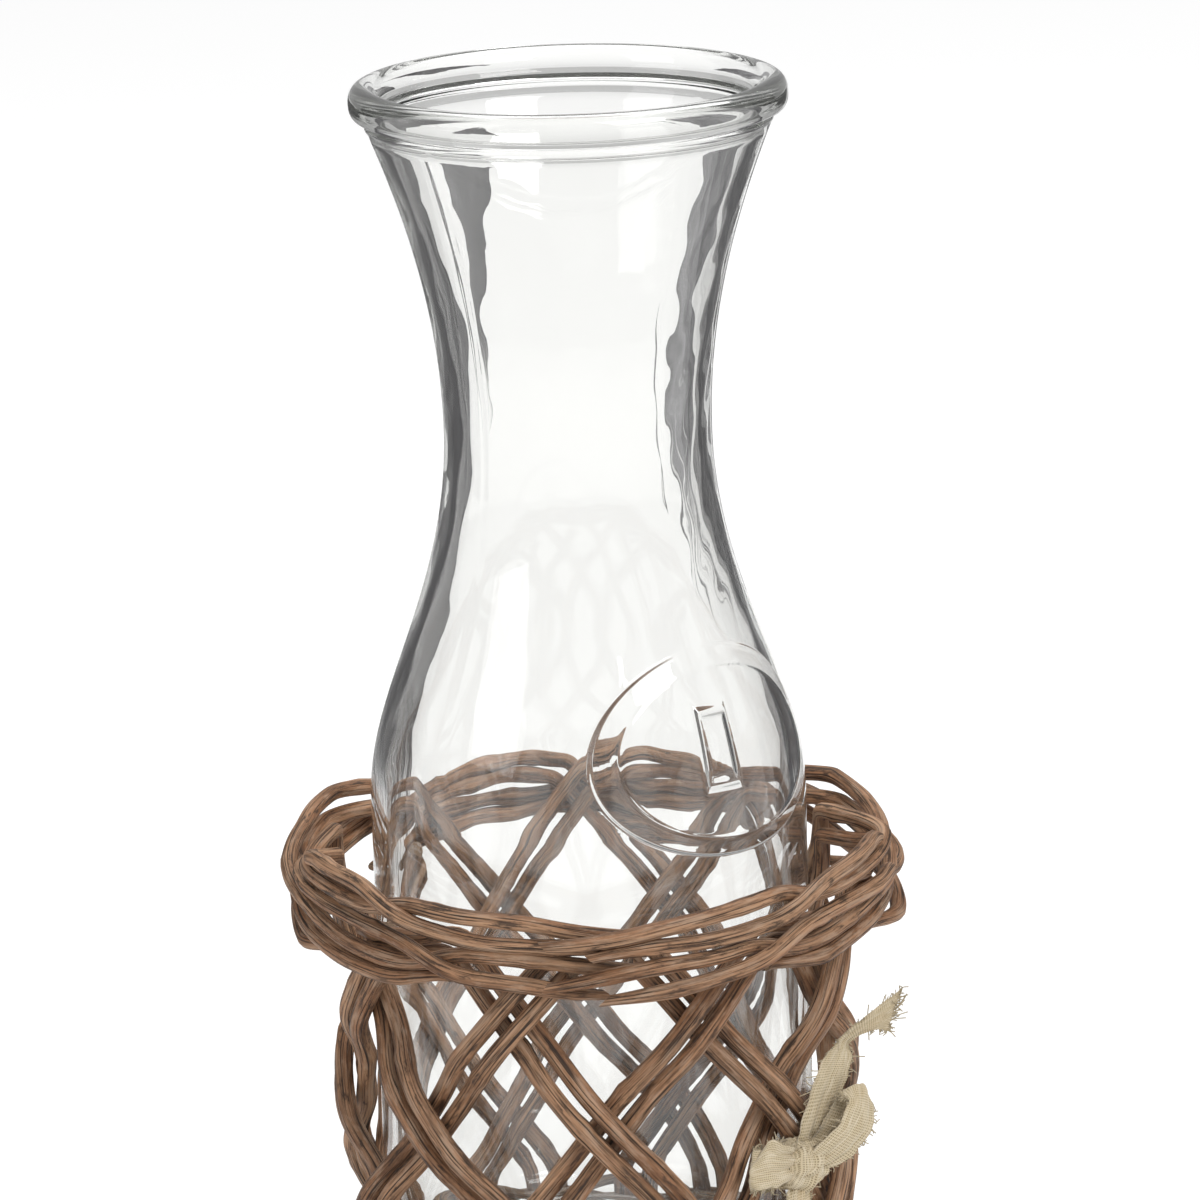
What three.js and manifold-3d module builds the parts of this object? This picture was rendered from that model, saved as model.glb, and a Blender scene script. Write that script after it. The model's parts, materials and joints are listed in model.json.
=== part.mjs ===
// A clear pressed-glass carafe standing in an open willow basket, with a torn strip of gauze
// tied to the basket as a bow. Millimetres, +Z up. The table top is z = 0, and the axis of the
// carafe is the Z axis. Angles go round that axis in degrees, from the front (-Y) to the right (+X).

import * as THREE from "three";
import { mergeVertices } from "three/addons/utils/BufferGeometryUtils.js";
import Module from "manifold-3d";

const wasm = await Module();
wasm.setup();

// Sizes of the glass, from its underside up
const bodyDiameter = 90;
const waistDiameter = 55.1;
const collarDiameter = 82.8;
const shoulderHeight = 106.7;
const shoulderToWaist = 76.5;
const waistToCollar = 63;
const collarBand = 1.4;
const collarGroove = 0.4;
const lipHeight = 9.1;
const lipOverhang = 3.4;
const lipRounding = 2;
const glassWall = 3;
const glassBase = 7;
const heelRadius = 12;
const footWidth = 4;
const puntRise = 2;

// How far each end of the two neck curves runs straight, and how far the collar leans out
const shoulderPull = 22;
const lowerWaistPull = 34;
const upperWaistPull = 22;
const collarPull = 22;
const collarLean = 22.3;

// The raised oval seal on the shoulder
const sealAngle = 43;
const sealHalfAngle = 43;
const sealHeight = 42;
const sealAboveShoulder = 15;
const sealRise = 1.4;
const sealEdge = 3.5;
const sealRoot = 1.2;
const sealBack = 1.8;

// Sizes of the willow
const rodDiameter = 4;
const rodGap = 0.7;
const pairGap = 1;
const glassClearance = 1;
const pairsEachWay = 8;
const crossingRows = 3;
const rowPitch = 23.6;
const topCrossingAngle = -20.2;
const stakeFootHeight = 0.8;

// The border at the top. Stakes from the back and the sides bend over outwards and run down round
// the outside to the front, where those from the left go under those from the right. Other stakes
// bend over beneath these, and the rest end inside. Turns, runs and laps are in degrees.
const borderRodDiameter = 3.4;
const borderGap = 0.45;
const strandGap = 0.8;
const overRise = 26.8;
const overTurn = 12;
const underRise = 12;
const underTurn = 8.5;
const underDrop = 6;
const underRun = 30;
const behindRise = 18;
const behindDrop = 5.2;
const behindRun = 104;
const shortRise = 12.5;
const tipRise = 8;
const sideAngle = 80;
const sideDrop = 9.6;
const seamAngle = -10;
const seamLap = 22;
const seamStagger = 9;
const seamDive = 18;

// The band and the floor at the bottom
const walingDiameter = 3.4;
const walingRods = 4;
const walingOpening = 6;
const footFlat = 0.5;
const bandToLattice = 18.6;
const floorStickDiameter = 3;
const floorSticksEachWay = 5;
const floorEdgeInset = 12.2;
const floorGap = 0.6;
const floorEndGap = 0.3;
const floorUnderside = 2.8;
const seatGap = 0.3;

// The strip of cloth
const clothThickness = 0.9;
const clothWidth = 10;
const clothClearance = 0.4;
const wrapWidth = 7;
const bowDrop = 11;
const bowStandOff = 5.5;
const knotHalfSizes = new THREE.Vector3(6, 4.5, 6.5);

// How finely round things are cut
const glassSegments = 32;
const neckPoints = 6;
const arcPoints = 3;
const rodSides = 5;
const stakeStep = 7;
const walingSteps = 56;
const floorStep = 6;
const sealPoints = 24;
const stripSteps = 12;

// Heights and radii that follow from the sizes
const radians = THREE.MathUtils.degToRad;
const degrees = THREE.MathUtils.radToDeg;
const bodyRadius = bodyDiameter / 2;
const waistRadius = waistDiameter / 2;
const collarRadius = collarDiameter / 2;
const floorWave = (floorStickDiameter + floorGap) / 2;
const floorMiddle = floorUnderside + floorWave + floorStickDiameter / 2;
const glassFoot = floorMiddle + floorWave + floorStickDiameter / 2 + seatGap;
const shoulderLevel = glassFoot + shoulderHeight;
const waistLevel = shoulderLevel + shoulderToWaist;
const collarLevel = waistLevel + waistToCollar;
const lipLevel = collarLevel + lipHeight;

// The share of its full depth that a wave has at the outermost of the rods that cross there
const flattest = 0.97;
const weaveDepth = (rodDiameter + rodGap) / 2 / flattest;
const weaveRadius = bodyRadius + glassClearance + rodDiameter / 2 + weaveDepth;
const walingPitch = walingDiameter + rodGap / 2;
const walingDepth = ((rodDiameter + walingDiameter) / 2 + rodGap) / flattest;
const walingInnerRadius = weaveRadius - walingDepth - walingDiameter / 2;
const floorStickSpacing = (2 * (walingInnerRadius - floorEdgeInset)) / (floorSticksEachWay - 1);
const bandTop = walingPitch * (walingRods - 1) + walingDiameter - footFlat;
const lowestRow = bandTop + bandToLattice;
const topRow = lowestRow + rowPitch * (crossingRows - 1);
const rowTurn = 180 / pairsEachWay;
const climb = rowPitch / rowTurn;
const latticeSlope = Math.atan2(rowPitch, weaveRadius * radians(rowTurn));
const pairSpacing = rodDiameter + pairGap;
const halfPairAngle = degrees(pairSpacing / 2 / Math.sin(latticeSlope) / weaveRadius);
const footBend = lowestRow - rowPitch / 2;
const footBendSoftness = 4;

// The outer strands of the border lie evenly above each other
const strandPitch = borderRodDiameter + strandGap;
const backSlope = strandPitch / rowTurn;
const frontSlope = sideDrop / sideAngle;
const pairRise = (strandPitch + 2 * backSlope * halfPairAngle) / (1 + backSlope / climb);
const innerBorderRadius = weaveRadius + weaveDepth + (rodDiameter + borderRodDiameter) / 2 + borderGap;
const outerBorderRadius = innerBorderRadius + borderRodDiameter + borderGap;
const crestSoftness = 1.2;

const glassLook = { color: 0xeef3f0, roughness: 0.05, metalness: 0, transparent: true, opacity: 0.35 };
const willowLook = { color: 0x8a5f45, roughness: 0.75, metalness: 0 };
const paleWillowLook = { color: 0x9a7c60, roughness: 0.8, metalness: 0 };
const gauzeLook = { color: 0xd8cbb0, roughness: 0.95, metalness: 0 };

const carafeInBasket = new THREE.Group();

function add(name, geometry, look) {
  const mesh = new THREE.Mesh(geometry, new THREE.MeshStandardMaterial(look));
  mesh.name = name;
  carafeInBasket.add(mesh);
}

// Joining and cutting of closed shapes
function solidOf(geometry) {
  const bare = new THREE.BufferGeometry();
  bare.setAttribute("position", geometry.getAttribute("position").clone());
  bare.setIndex(geometry.index ? geometry.index.clone() : null);
  const merged = mergeVertices(bare, 1e-4);
  const corners = merged.index.array;
  const triVerts = [];
  for (let i = 0; i < corners.length; i += 3) {
    const [a, b, c] = corners.slice(i, i + 3);
    if (a !== b && b !== c && c !== a) triVerts.push(a, b, c);
  }
  return new wasm.Manifold(
    new wasm.Mesh({
      numProp: 3,
      vertProperties: merged.attributes.position.array,
      triVerts: new Uint32Array(triVerts),
    }),
  );
}

function geometryOf(solid) {
  const { vertProperties, triVerts } = solid.getMesh();
  const geometry = new THREE.BufferGeometry();
  geometry.setAttribute("position", new THREE.BufferAttribute(vertProperties, 3));
  geometry.setIndex(new THREE.BufferAttribute(triVerts, 1));
  geometry.computeVertexNormals();
  return geometry;
}

// A closed shape through rings that have the same number of points each
function loft(rings) {
  const count = rings[0].length;
  const positions = rings.flat().flatMap((point) => point.toArray());
  const faces = [];
  for (let ring = 0; ring < rings.length - 1; ring += 1) {
    for (let i = 0; i < count; i += 1) {
      const a = ring * count + i;
      const b = ring * count + ((i + 1) % count);
      faces.push(a, b, b + count, a, b + count, a + count);
    }
  }
  const last = (rings.length - 1) * count;
  for (let i = 1; i < count - 1; i += 1) {
    faces.push(0, i + 1, i);
    faces.push(last, last + i, last + i + 1);
  }
  const geometry = new THREE.BufferGeometry();
  geometry.setAttribute("position", new THREE.Float32BufferAttribute(positions, 3));
  geometry.setIndex(faces);
  geometry.computeVertexNormals();
  return geometry;
}

function pointAt(radius, angle, height) {
  const turn = radians(angle);
  return new THREE.Vector3(radius * Math.sin(turn), -radius * Math.cos(turn), height);
}

// The glass: one outline, up the outside, over the lip and down the inside
function neckWall(inset) {
  const lean = new THREE.Vector2(Math.sin(radians(collarLean)), Math.cos(radians(collarLean)));
  const body = new THREE.Vector2(bodyRadius - inset, shoulderLevel);
  const waist = new THREE.Vector2(waistRadius - inset, waistLevel);
  const collar = new THREE.Vector2(collarRadius - inset, collarLevel);
  const path = new THREE.Path([body]);
  path.bezierCurveTo(body.x, body.y + shoulderPull, waist.x, waist.y - lowerWaistPull, waist.x, waist.y);
  const underCollar = collar.clone().addScaledVector(lean, -collarPull);
  path.bezierCurveTo(waist.x, waist.y + upperWaistPull, underCollar.x, underCollar.y, collar.x, collar.y);
  return path.getPoints(neckPoints);
}

function heelOutside() {
  const footRadius = bodyRadius - heelRadius;
  const footInner = footRadius - footWidth;
  const path = new THREE.Path();
  path.moveTo(0, glassFoot + puntRise);
  path.quadraticCurveTo(footInner / 2, glassFoot + puntRise, footInner, glassFoot);
  path.lineTo(footRadius, glassFoot);
  path.absarc(footRadius, glassFoot + heelRadius, heelRadius, -Math.PI / 2, 0, false);
  return path.getPoints(arcPoints);
}

function lip() {
  const lipRadius = collarRadius + lipOverhang;
  const mouthRadius = collarRadius - glassWall;
  const crown = (lipRadius + mouthRadius) / 2;
  const beadFoot = collarLevel + collarBand + collarGroove;
  const path = new THREE.Path();
  path.moveTo(collarRadius, collarLevel + collarBand);
  path.lineTo(collarRadius - collarGroove, beadFoot);
  path.quadraticCurveTo(lipRadius, beadFoot, lipRadius, lipLevel - lipRounding);
  path.quadraticCurveTo(lipRadius, lipLevel, crown, lipLevel);
  path.quadraticCurveTo(mouthRadius, lipLevel, mouthRadius, lipLevel - lipRounding);
  return path.getPoints(arcPoints);
}

function heelInside() {
  const innerHeel = Math.max(heelRadius - glassWall, 1);
  const innerRadius = bodyRadius - glassWall;
  const floorLevel = glassFoot + glassBase;
  const path = new THREE.Path();
  path.absarc(innerRadius - innerHeel, floorLevel + innerHeel, innerHeel, 0, -Math.PI / 2, true);
  path.lineTo(0, floorLevel);
  return path.getPoints(arcPoints);
}

const outerOutline = [...heelOutside(), ...neckWall(0)];

function outerRadiusAt(level) {
  const above = outerOutline.findIndex((point, i) => i > 0 && point.x > waistRadius / 2 && point.y >= level);
  const high = outerOutline[above];
  const low = outerOutline[above - 1];
  return low.x + ((high.x - low.x) * (level - low.y)) / (high.y - low.y);
}

function sealRing(share, proud) {
  const middle = shoulderLevel + sealAboveShoulder;
  const ring = [];
  for (let i = 0; i < sealPoints; i += 1) {
    const turn = (2 * Math.PI * i) / sealPoints;
    const level = middle + (sealHeight / 2) * share * Math.sin(turn);
    const angle = sealAngle + sealHalfAngle * share * Math.cos(turn);
    ring.push(pointAt(outerRadiusAt(level) + proud, angle, level));
  }
  return ring;
}

function glassCarafe() {
  const outline = [...outerOutline, ...lip(), ...neckWall(glassWall).reverse(), ...heelInside()];
  const lathe = new THREE.LatheGeometry(outline, glassSegments);
  lathe.rotateX(Math.PI / 2);
  const middleOfSeal = 0.02;
  const plateau = 1 - (2 * sealEdge) / sealHeight;
  const rings = [
    sealRing(middleOfSeal, -sealBack),
    sealRing(plateau, -sealBack),
    sealRing(1, -sealRoot),
    sealRing(plateau, sealRise),
    sealRing(plateau / 2, sealRise),
    sealRing(middleOfSeal, sealRise),
  ];
  return geometryOf(solidOf(lathe).add(solidOf(loft(rings))));
}

// A rod is a tube along a path that is given as a function of 0 to 1
class RodPath extends THREE.Curve {
  constructor(place) {
    super();
    this.place = place;
  }

  getPoint(t, target = new THREE.Vector3()) {
    return target.copy(this.place(t));
  }
}

function rod(place, diameterAt, steps) {
  const path = new RodPath(place);
  const { normals, binormals } = path.computeFrenetFrames(steps);
  const rings = normals.map((normal, step) => {
    const t = path.getUtoTmapping(step / steps);
    const ring = [];
    for (let i = 0; i < rodSides; i += 1) {
      const turn = (2 * Math.PI * i) / rodSides;
      const corner = normal.clone().multiplyScalar(Math.cos(turn));
      corner.addScaledVector(binormals[step], Math.sin(turn));
      ring.push(corner.multiplyScalar(diameterAt(t) / 2).add(place(t)));
    }
    return ring;
  });
  return loft(rings);
}

// A wave with broad crests, so that both rods of a pair are at their full depth where they cross
function flattened(wave) {
  return wave * (1.5 - 0.5 * wave * wave);
}

// Over and under: 1 where a rod lies outside the wall, -1 where it lies inside
function weave(level) {
  if (level >= topRow) return 1;
  if (level >= lowestRow) {
    return flattened(Math.cos((Math.PI * (topRow - level)) / rowPitch));
  }
  const lowestSide = crossingRows % 2 === 1 ? 1 : -1;
  const faded = Math.min((lowestRow - level) / bandToLattice, 1);
  return (lowestSide * (1 + flattened(Math.cos(Math.PI * faded)))) / 2;
}

// What becomes of a pair of stakes in the border, by its place round the basket. Lanes give the
// level of a strand by how far it still is from the front, in degrees.
function overLane(toFront) {
  const pastSide = Math.max(toFront - sideAngle, 0);
  return frontSlope * (toFront - pastSide) + backSlope * pastSide;
}

function courseOf(pair, lean) {
  const over = { rise: overRise, radius: outerBorderRadius, turn: overTurn, lane: overLane };
  const inner = { radius: innerBorderRadius, turn: underTurn };
  const evenLane = (drop, run) => (toFront) => (drop / run) * toFront;
  const under = { ...inner, rise: underRise, run: underRun, lane: evenLane(underDrop, underRun) };
  const behind = { ...inner, rise: behindRise, run: behindRun, lane: evenLane(behindDrop, behindRun) };
  const short = { ...over, run: (shortRise - overRise) / climb };
  const courses = [short, under, under, lean > 0 ? behind : short, over, over, over, short];
  return courses[lean > 0 ? pair : (pairsEachWay + 1 - pair) % pairsEachWay];
}

// A stake stands up from the band, leans into the lattice and bends over into the border. Travel is
// in degrees from its bend above the band. The trailing rod of a pair has the higher crest.
// Swelling makes it thicker all round, for cutting room for it in something else.
function stake(pair, leading, lean, swelling = 0) {
  const { rise, radius, turn, lane, run } = courseOf(pair, lean);
  const crest = topRow + rise + (leading ? 0 : pairRise);
  const travelTo = (level) => (level - footBend) / climb;
  const crestTravel = travelTo(crest);
  const pairAngle = topCrossingAngle + 2 * rowTurn * pair;
  const footAngle = (leading ? halfPairAngle : -halfPairAngle) - travelTo(topRow);
  const angleAt = (travel) => {
    const swing = (travel + Math.hypot(travel, footBendSoftness)) / 2;
    return pairAngle + lean * (footAngle + swing);
  };
  const crestToFront = THREE.MathUtils.euclideanModulo(-lean * angleAt(crestTravel), 360);
  const toFrontAt = (travel) => crestToFront - (travel - crestTravel);
  const tipToFront = (topRow + tipRise - crest + overLane(crestToFront)) / frontSlope;
  const stagger = leading ? seamStagger : 0;
  const seamToFront = lean > 0 ? stagger - seamAngle - seamLap : stagger + seamAngle;
  const runToFront = crestToFront - Math.max(tipToFront, seamToFront);
  const start = travelTo(stakeFootHeight);
  const end = crestTravel + (run ?? runToFront);
  const { lerp, smoothstep } = THREE.MathUtils;
  const place = (t) => {
    const travel = lerp(start, end, t);
    const rising = footBend + climb * travel;
    const falling = crest + lane(toFrontAt(travel)) - lane(crestToFront);
    const level = (rising + falling) / 2 - Math.hypot((rising - falling) / 2, crestSoftness);
    const pastSeam = lean > 0 ? smoothstep(-toFrontAt(travel), seamAngle - seamDive, seamAngle) : 0;
    const outside = lerp(radius, innerBorderRadius, pastSeam);
    const upright = weaveRadius + lean * weaveDepth * weave(level);
    const turned = smoothstep(travel, crestTravel - 1, crestTravel + turn);
    return pointAt(lerp(upright, outside, turned), angleAt(travel), level);
  };
  const diameterAt = (t) => {
    const thinned = smoothstep(lerp(start, end, t), travelTo(topRow), crestTravel);
    return lerp(rodDiameter, borderRodDiameter, thinned) + 2 * swelling;
  };
  const length = new RodPath(place).getLength();
  return rod(place, diameterAt, Math.ceil(length / stakeStep));
}

// The band's rods go outside one pair of stakes and inside the next
function walingRod(row) {
  const level = walingDiameter / 2 - footFlat + row * walingPitch;
  const firstFoot = topCrossingAngle - (topRow - footBend) / climb;
  const side = row % 2 === 0 ? 1 : -1;
  const place = (t) => {
    const travel = walingOpening / 2 + (360 - walingOpening) * t;
    const bulge = side * walingDepth * flattened(Math.cos(radians(pairsEachWay * travel)));
    return pointAt(weaveRadius + bulge, firstFoot + travel, level);
  };
  return rod(place, () => walingDiameter, walingSteps);
}

function footRod() {
  const width = 4 * weaveRadius;
  const table = new THREE.BoxGeometry(width, width, walingDiameter);
  table.translate(0, 0, -walingDiameter / 2);
  return geometryOf(solidOf(walingRod(0)).subtract(solidOf(table)));
}

// The floor's sticks go over and under each other and end just inside the band
function floorStick(index, crosswise) {
  const middle = (floorSticksEachWay - 1) / 2;
  const aside = (index - middle) * floorStickSpacing;
  const reach = walingInnerRadius - floorEndGap;
  const half = Math.sqrt(reach ** 2 - (Math.abs(aside) + floorStickDiameter / 2) ** 2);
  const first = (index % 2 === 0 ? 1 : -1) * (crosswise ? -1 : 1);
  const place = (t) => {
    const along = half * (2 * t - 1);
    const wave = first * Math.cos(Math.PI * (along / floorStickSpacing + middle));
    const level = floorMiddle + floorWave * wave;
    return crosswise ? new THREE.Vector3(aside, along, level) : new THREE.Vector3(along, aside, level);
  };
  return rod(place, () => floorStickDiameter, Math.ceil((2 * half) / floorStep));
}

// The bow is tied below a crossing in the second row. Its places are across, out and up from the
// knot, in widths of the strip, and each place has the strip's width there as a vector.
const bowAngle = topCrossingAngle + 3 * rowTurn;
const bowLevel = topRow - rowPitch - bowDrop;
const knotMiddle = pointAt(weaveRadius + bowStandOff, bowAngle, bowLevel);

function bowVector(across, out, up) {
  const vector = pointAt(out, bowAngle, up);
  return vector.addScaledVector(pointAt(1, bowAngle + 90, 0), across);
}

function fromKnot(at, wide) {
  const place = bowVector(...at).multiplyScalar(clothWidth).add(knotMiddle);
  return { at: place, wide: bowVector(...wide).multiplyScalar(clothWidth) };
}

function strip(stations, steps) {
  const middle = new THREE.CatmullRomCurve3(stations.map(({ at }) => at));
  const spread = new THREE.CatmullRomCurve3(stations.map(({ wide }) => wide));
  const rings = [];
  for (let step = 0; step <= steps; step += 1) {
    const t = step / steps;
    const point = middle.getPoint(t);
    const half = spread.getPoint(t).multiplyScalar(0.5);
    const normal = middle.getTangent(t).cross(half).normalize().multiplyScalar(clothThickness / 2);
    const corner = (a, b) => point.clone().addScaledVector(half, a).addScaledVector(normal, b);
    rings.push([corner(-1, -1), corner(1, -1), corner(1, 1), corner(-1, 1)]);
  }
  return solidOf(loft(rings));
}

// The strip goes from the knot round the pair of stakes on its right and back to the knot
function wrap() {
  const pairAngle = bowAngle + bowDrop / climb;
  const pairRadius = weaveRadius - weaveDepth * weave(bowLevel);
  const middle = pointAt(pairRadius, pairAngle, bowLevel);
  const outward = pointAt(1, pairAngle, 0);
  const sideways = pointAt(Math.cos(latticeSlope), pairAngle + 90, -Math.sin(latticeSlope));
  const upPair = sideways.clone().negate();
  const acrossPair = outward.clone().cross(upPair);
  const wide = upPair.clone().multiplyScalar(wrapWidth);
  const round = rodDiameter / 2 + clothClearance + clothThickness / 2;
  const place = (end, turn) => {
    const aside = (end * pairSpacing) / 2 + round * Math.cos(radians(turn));
    const at = middle.clone().addScaledVector(acrossPair, aside);
    return { at: at.addScaledVector(outward, round * Math.sin(radians(turn))), wide };
  };
  const knot = { at: knotMiddle, wide };
  const front = [place(-1, 90), place(1, 90), place(1, 45), place(1, 0), place(1, -45), place(1, -90)];
  const back = [place(-1, -90), place(-1, -135), place(-1, -180)];
  return strip([knot, ...front, ...back, knot], 2 * stripSteps);
}

function clothBow() {
  const upright = [0, 0, 1];
  const level = [1, 0, 0];
  const slanted = [0.6, -0.4, -0.5];
  const twisted = [0.4, 0, 0];
  const tip = [0.1, 0, -0.1];
  const upperTail = [
    fromKnot([0, 0, 0], level),
    fromKnot([0.3, 0.15, 1.3], level),
    fromKnot([0.76, 0.25, 2.16], level),
    fromKnot([1, 0.4, 2.65], twisted),
    fromKnot([1.24, 0.8, 3.17], slanted),
    fromKnot([1.78, 1.2, 3.65], tip),
  ];
  const rightLoop = [
    fromKnot([0, 0.1, 0], slanted),
    fromKnot([0.6, 0.6, 0.75], slanted),
    fromKnot([1.05, 1.05, 1.35], slanted),
    fromKnot([1.2, 0.95, 1.6], slanted),
    fromKnot([1.05, 0.65, 1.35], slanted),
    fromKnot([0.6, 0.3, 0.7], slanted),
    fromKnot([0, 0, 0], slanted),
  ];
  const leftLoop = [
    fromKnot([0, 0.1, 0], upright),
    fromKnot([-0.9, 0.25, 0.1], upright),
    fromKnot([-1.5, 0.15, 0], upright),
    fromKnot([-1.7, -0.05, -0.15], upright),
    fromKnot([-1.4, -0.15, -0.3], upright),
    fromKnot([-0.8, -0.08, -0.25], upright),
    fromKnot([0, 0, -0.1], upright),
  ];
  const lowerTail = [
    fromKnot([0, 0, 0], level),
    fromKnot([-0.2, 0.2, -0.8], level),
    fromKnot([-0.3, 0.1, -1.6], level),
    fromKnot([-0.2, -0.05, -2.4], level),
  ];
  const knot = new THREE.SphereGeometry(1, 14, 10);
  knot.scale(knotHalfSizes.x, knotHalfSizes.y, knotHalfSizes.z);
  knot.rotateZ(radians(bowAngle));
  knot.translate(knotMiddle.x, knotMiddle.y, knotMiddle.z);
  let bow = solidOf(knot).add(wrap());
  for (const stations of [upperTail, rightLoop, leftLoop, lowerTail]) {
    bow = bow.add(strip(stations, stripSteps));
  }
  for (const leading of [true, false]) {
    bow = bow.subtract(solidOf(stake(1, leading, -1, clothClearance)));
    bow = bow.subtract(solidOf(stake(2, leading, 1, clothClearance)));
  }
  return geometryOf(bow);
}

// The assembly
add("glass_carafe", glassCarafe(), glassLook);
for (let pair = 0; pair < pairsEachWay; pair += 1) {
  add(`right_stake_${pair + 1}a`, stake(pair, false, 1), willowLook);
  add(`right_stake_${pair + 1}b`, stake(pair, true, 1), willowLook);
  add(`left_stake_${pair + 1}a`, stake(pair, false, -1), willowLook);
  add(`left_stake_${pair + 1}b`, stake(pair, true, -1), willowLook);
}
add("foot_rod", footRod(), paleWillowLook);
for (let row = 1; row < walingRods; row += 1) {
  add(`waling_rod_${row}`, walingRod(row), paleWillowLook);
}
for (let index = 0; index < floorSticksEachWay; index += 1) {
  add(`floor_stick_${index + 1}`, floorStick(index, false), paleWillowLook);
  add(`floor_cross_stick_${index + 1}`, floorStick(index, true), paleWillowLook);
}
add("cloth_bow", clothBow(), gauzeLook);

export default carafeInBasket;
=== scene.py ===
# %% [markdown]
# # A glass carafe in a willow basket
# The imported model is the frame: its names, places and sizes stay as they are, in metres with +Z up. Each
# plain solid is replaced by a piece with the shape and finish of the real one.

# %% Load the frame
import json
import math

import bpy
import numpy as np
from mathutils import Matrix, Vector, noise

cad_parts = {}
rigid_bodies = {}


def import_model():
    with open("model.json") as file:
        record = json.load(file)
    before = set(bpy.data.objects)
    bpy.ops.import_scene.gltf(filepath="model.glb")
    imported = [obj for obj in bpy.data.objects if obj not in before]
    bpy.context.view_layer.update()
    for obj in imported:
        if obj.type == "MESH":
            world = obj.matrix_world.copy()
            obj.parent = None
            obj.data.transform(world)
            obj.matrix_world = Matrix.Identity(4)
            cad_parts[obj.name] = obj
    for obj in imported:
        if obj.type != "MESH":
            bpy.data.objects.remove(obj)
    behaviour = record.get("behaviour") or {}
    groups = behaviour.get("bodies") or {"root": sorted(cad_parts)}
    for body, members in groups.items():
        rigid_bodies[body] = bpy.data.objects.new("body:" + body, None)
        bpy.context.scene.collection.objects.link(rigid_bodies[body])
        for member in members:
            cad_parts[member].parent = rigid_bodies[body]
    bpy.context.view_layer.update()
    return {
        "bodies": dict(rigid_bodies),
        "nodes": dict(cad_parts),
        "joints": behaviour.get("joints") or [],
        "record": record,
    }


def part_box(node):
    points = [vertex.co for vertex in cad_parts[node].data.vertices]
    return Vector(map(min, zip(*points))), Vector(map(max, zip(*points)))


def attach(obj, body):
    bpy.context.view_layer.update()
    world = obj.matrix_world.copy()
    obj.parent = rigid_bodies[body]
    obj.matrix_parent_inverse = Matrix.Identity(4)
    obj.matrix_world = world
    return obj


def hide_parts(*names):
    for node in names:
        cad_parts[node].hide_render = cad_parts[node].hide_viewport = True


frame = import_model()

MM = 0.001
glass_low, glass_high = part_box("glass_carafe")
print("glass from", round(glass_low[2] / MM, 1), "to", round(glass_high[2] / MM, 1), "mm")

# %% [markdown]
# ## Small helpers
# Angles go round the Z axis in degrees, from the front (-Y) to the right (+X). Places are in millimetres
# until a mesh is made.

# %% Helpers


def point_at(radius, angle, level):
    turn = math.radians(angle)
    return np.array([radius * math.sin(turn), -radius * math.cos(turn), level])


def wander(seed, distance, length):
    """A smooth random value from about -1 to 1 that changes over the given length."""
    return 1.7 * noise.noise(Vector((distance / length, 7.31 * seed + 0.5, 3.7 * seed)))


def ease(value):
    value = min(max(value, 0.0), 1.0)
    return value * value * (3 - 2 * value)


def take_up(piece, body, slot, *nodes):
    """The piece takes the place of the named nodes and moves with the body."""
    if nodes:
        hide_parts(*nodes)
    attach(piece, body)


def deselect_all():
    if bpy.context.object and bpy.context.object.mode != "OBJECT":
        bpy.ops.object.mode_set(mode="OBJECT")
    bpy.ops.object.select_all(action="DESELECT")


def corners_of(mesh):
    values = np.zeros(3 * len(mesh.vertices), np.float32)
    mesh.vertices.foreach_get("co", values)
    return values.reshape(-1, 3).astype(float)


def set_corners(mesh, places):
    mesh.vertices.foreach_set("co", np.asarray(places, np.float32).ravel())
    mesh.update()


# %% [markdown]
# ## Materials
# Colours are sRGB hex values. Patterns are in real millimetres, from Object coordinates or from a mesh's
# own attribute.

# %% Material helpers


def colour(hex_value):
    parts = [int(hex_value[i:i + 2], 16) / 255 for i in (1, 3, 5)]
    linear = [p / 12.92 if p <= 0.04045 else ((p + 0.055) / 1.055) ** 2.4 for p in parts]
    return (*linear, 1.0)


def add_node(tree, kind, inputs=None, **settings):
    made = tree.nodes.new(kind)
    for name, value in settings.items():
        setattr(made, name, value)
    for name, value in (inputs or {}).items():
        if isinstance(value, bpy.types.NodeSocket):
            tree.links.new(value, made.inputs[name])
        else:
            made.inputs[name].default_value = value
    return made


def new_material(name):
    material = bpy.data.materials.new(name)
    material.use_nodes = True
    tree = material.node_tree
    tree.nodes.clear()
    shader = add_node(tree, "ShaderNodeBsdfPrincipled")
    output = add_node(tree, "ShaderNodeOutputMaterial", {"Surface": shader.outputs["BSDF"]})
    return material, tree, shader, output


def noise_of(tree, place, per_mm, detail=3.0, roughness=0.55):
    """Noise whose pattern repeats about per_mm times in a millimetre along each axis of the place."""
    scaled = add_node(tree, "ShaderNodeVectorMath", {0: place, 1: per_mm}, operation="MULTIPLY")
    inputs = {"Vector": scaled.outputs[0], "Scale": 1.0, "Detail": detail, "Roughness": roughness}
    return add_node(tree, "ShaderNodeTexNoise", inputs).outputs["Fac"]


def lay_over(tree, under, over, pattern, low, high, share=1.0):
    """Lay a colour over another, from none where the pattern is low to the share where it is high."""
    inputs = {"Value": pattern, "From Min": low, "From Max": high, "To Max": share}
    strength = add_node(tree, "ShaderNodeMapRange", inputs, clamp=True).outputs["Result"]
    inputs = {"Factor": strength, 6: under, 7: over}
    return add_node(tree, "ShaderNodeMix", inputs, data_type="RGBA").outputs[2]


def in_millimetres(tree):
    """Object coordinates, which are metres here, in millimetres."""
    place = add_node(tree, "ShaderNodeTexCoord").outputs["Object"]
    scaled = add_node(tree, "ShaderNodeVectorMath", {0: place, "Scale": 1 / MM}, operation="SCALE")
    return scaled.outputs[0]


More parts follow.
